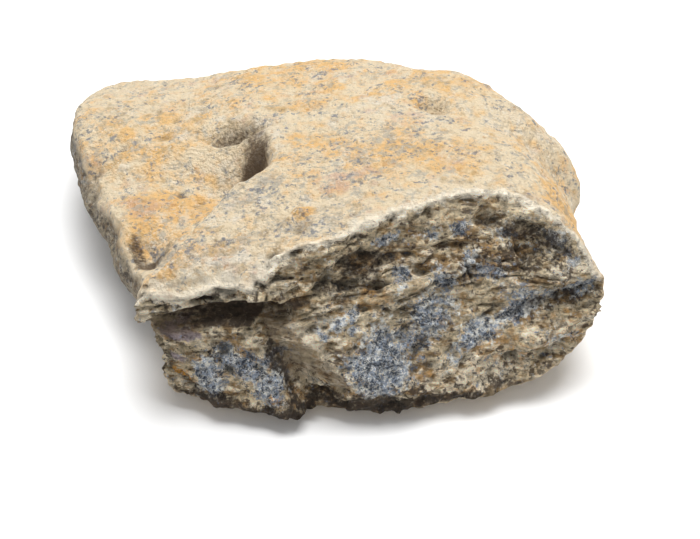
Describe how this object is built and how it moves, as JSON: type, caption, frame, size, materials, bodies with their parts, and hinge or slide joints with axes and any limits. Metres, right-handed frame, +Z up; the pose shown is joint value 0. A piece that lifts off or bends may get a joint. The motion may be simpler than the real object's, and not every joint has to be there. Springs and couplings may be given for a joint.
{
  "type": "fossil scute fragment",
  "caption": "Broken piece of an ankylosaur's bony skin plate: smooth domed ochre crust, rough spongy break at the front, resting on a small flat spot.",
  "frame": {"origin": "under the middle of the piece's overall box, on the surface it rests on", "axes": "+Z up, +X along the piece towards its rounded nose, -Y towards the rough break"},
  "size_m": [0.0717, 0.064, 0.0227],
  "materials": {
    "fossil_bone": "dull, slightly rough ochre crust with grey mineral specks, and a coarse spongy break"
  },
  "bodies": {
    "root": {"scute": "fossil_bone"}
  },
  "joints": []
}
